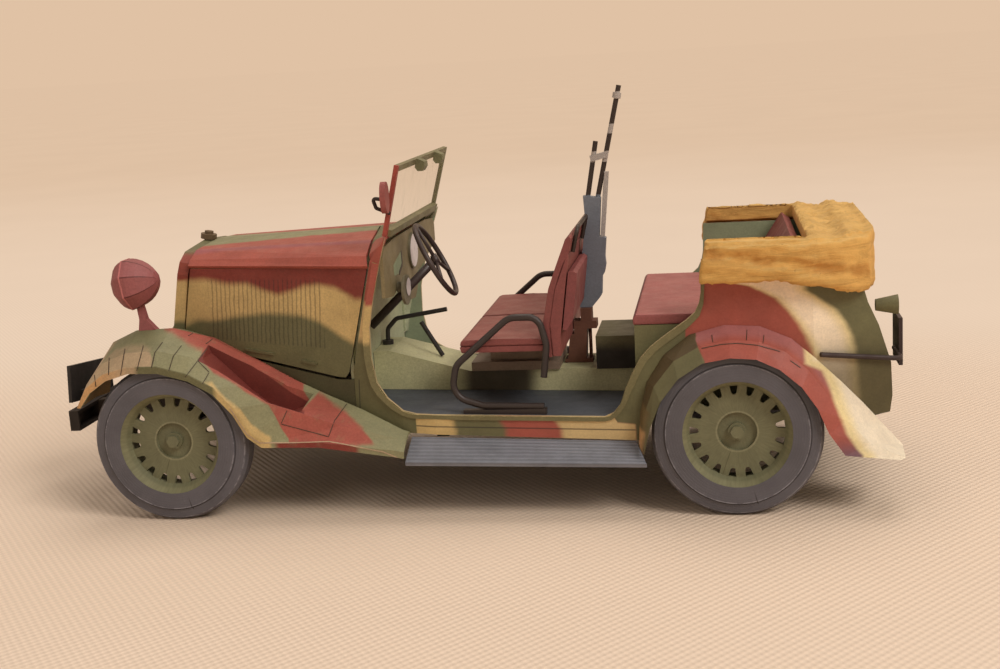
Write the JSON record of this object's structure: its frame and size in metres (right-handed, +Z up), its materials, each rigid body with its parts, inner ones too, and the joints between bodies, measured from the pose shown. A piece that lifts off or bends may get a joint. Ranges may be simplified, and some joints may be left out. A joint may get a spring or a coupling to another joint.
{
  "type": "card scale model of an open field car",
  "caption": "Card scale model of a doorless open field car with folded canvas top, in three-tone camouflage, on freely turning wheels.",
  "frame": {"origin": "middle of the bounding box at ground level", "axes": "+X to the rear of the car, +Y to its right side, +Z up; the front faces -X"},
  "size_m": [0.1418, 0.056, 0.0666],
  "materials": {
    "paint_red": "matt red-brown printed card",
    "paint_olive": "matt olive printed card",
    "paint_sand": "matt sand printed card",
    "card_dark": "matt dark grey card",
    "card_floor": "matt blue-grey card",
    "card_inner": "matt pale grey-green card",
    "card_seat": "matt red-brown card",
    "card_canvas": "ochre crumpled paper",
    "card_rim": "matt olive card",
    "card_tyre": "matt dark grey-purple card",
    "gun_grey": "matt blue-grey card",
    "windscreen": "thin clear film",
    "wire": "matt black wire"
  },
  "bodies": {
    "chassis": {"body_side_left": "paint_olive", "body_side_right": "paint_olive", "tail_panel": "paint_olive", "cowl_top": "paint_olive", "dashboard": "paint_olive", "windshield_frame": "paint_olive", "wiper_boxes": "paint_olive", "rear_lamp": "paint_olive", "rear_number_plate": "paint_olive", "rear_seat_box": "paint_olive", "gun_post": "paint_olive", "front_fender_left": "paint_olive", "front_fender_right": "paint_olive", "radiator_cap": "paint_olive", "hood_top": "paint_red", "headlamps": "paint_red", "rear_fender_left": "paint_red", "rear_fender_right": "paint_red", "mirror": "paint_red", "hood_sides": "paint_sand", "hood_aprons": "paint_sand", "radiator_shell": "paint_sand", "radiator_grille": "card_dark", "front_number_plate": "card_dark", "front_bumper": "card_dark", "frame_rails": "card_dark", "front_axle": "card_dark", "rear_axle": "card_dark", "leaf_springs": "card_dark", "propeller_shaft": "card_dark", "storage_box": "card_dark", "steering_wheel": "card_dark", "bulkhead": "card_dark", "wheelhouses": "card_dark", "floor": "card_floor", "running_boards": "card_floor", "tunnel": "card_inner", "instruments": "card_inner", "front_cushions": "card_seat", "front_seat_backs": "card_seat", "seat_pouches": "card_seat", "seat_pedestal": "card_seat", "rear_cushion": "card_seat", "rear_seat_back": "card_seat", "folded_canvas": "card_canvas", "gun": "gun_grey", "windshield_glass": "windscreen", "seat_wires": "wire", "seat_handles": "wire", "levers": "wire"},
    "wheel_front_left": {"rim_front_left": "card_rim", "tyre_front_left": "card_tyre"},
    "wheel_front_right": {"rim_front_right": "card_rim", "tyre_front_right": "card_tyre"},
    "wheel_rear_left": {"rim_rear_left": "card_rim", "tyre_rear_left": "card_tyre"},
    "wheel_rear_right": {"rim_rear_right": "card_rim", "tyre_rear_right": "card_tyre"}
  },
  "joints": [
    {"name": "wheel_front_left_spin", "type": "hinge", "parent": "chassis", "child": "wheel_front_left", "pos_m": [-0.0473, -0.0245, 0.0132], "axis": [0, 1, 0], "continuous": true},
    {"name": "wheel_front_right_spin", "type": "hinge", "parent": "chassis", "child": "wheel_front_right", "pos_m": [-0.0473, 0.0245, 0.0132], "axis": [0, 1, 0], "continuous": true},
    {"name": "wheel_rear_left_spin", "type": "hinge", "parent": "chassis", "child": "wheel_rear_left", "pos_m": [0.0447, -0.0245, 0.0132], "axis": [0, 1, 0], "continuous": true},
    {"name": "wheel_rear_right_spin", "type": "hinge", "parent": "chassis", "child": "wheel_rear_right", "pos_m": [0.0447, 0.0245, 0.0132], "axis": [0, 1, 0], "continuous": true}
  ]
}
